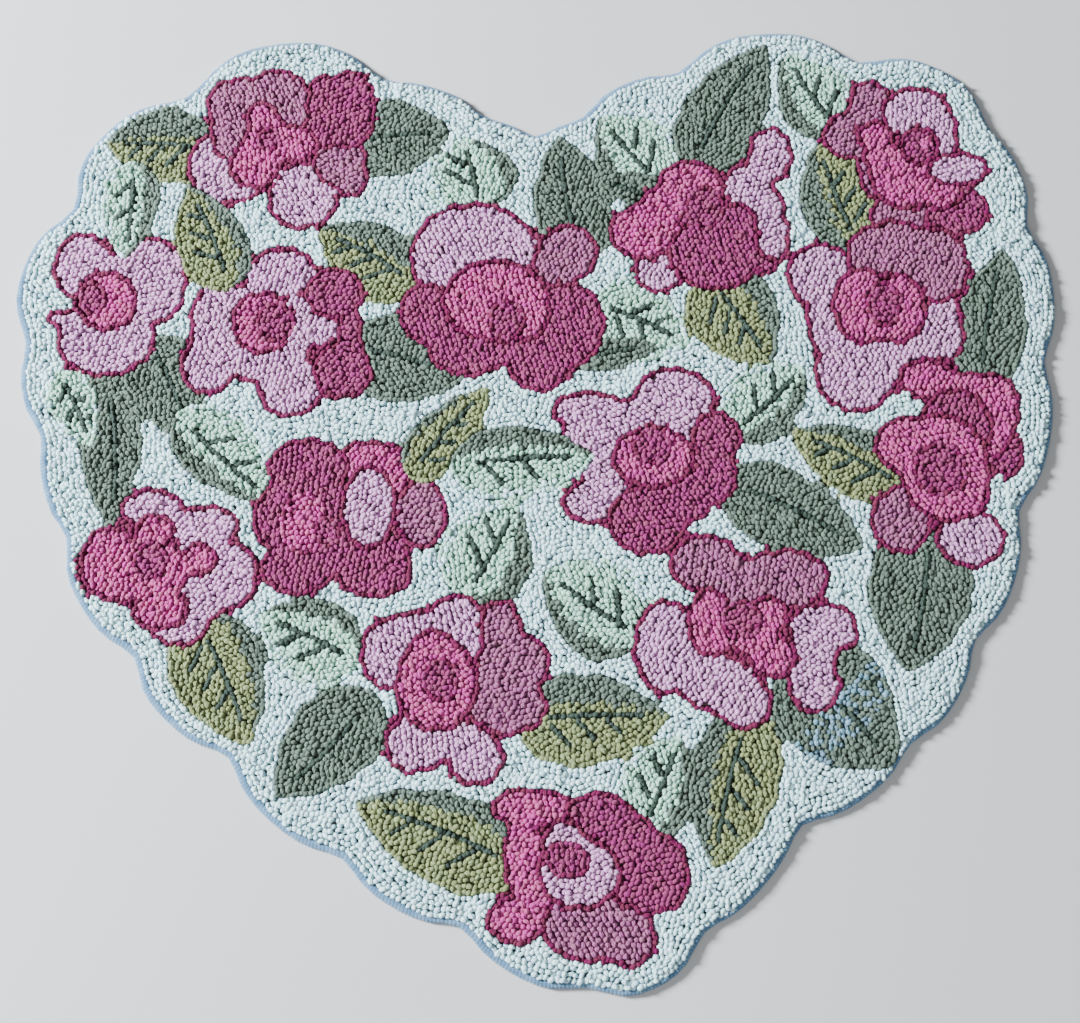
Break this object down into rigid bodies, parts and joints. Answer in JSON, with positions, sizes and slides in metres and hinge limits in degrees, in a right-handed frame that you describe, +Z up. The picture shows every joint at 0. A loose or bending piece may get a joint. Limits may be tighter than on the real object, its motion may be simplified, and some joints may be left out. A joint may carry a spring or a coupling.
{
  "type": "heart-shaped hooked rug",
  "caption": "Flat heart-shaped hooked rug with a scalloped edge, a dense loop pile with roses and leaves, and a whipped yarn binding.",
  "frame": {"origin": "middle of the rug's bounding box, at its underside on the floor", "axes": "+Z up through the pile, +X across the heart's width to its right lobe seen from above, +Y from the heart's tip to its notch"},
  "size_m": [1.0666, 0.979, 0.01],
  "materials": {
    "pile_wool": "matt hooked wool loops in ice blue, pinks and greens",
    "binding_yarn": "matt light blue yarn whipped over the edge"
  },
  "bodies": {
    "root": {"hooked_field": "pile_wool", "whipped_binding": "binding_yarn"}
  },
  "joints": []
}
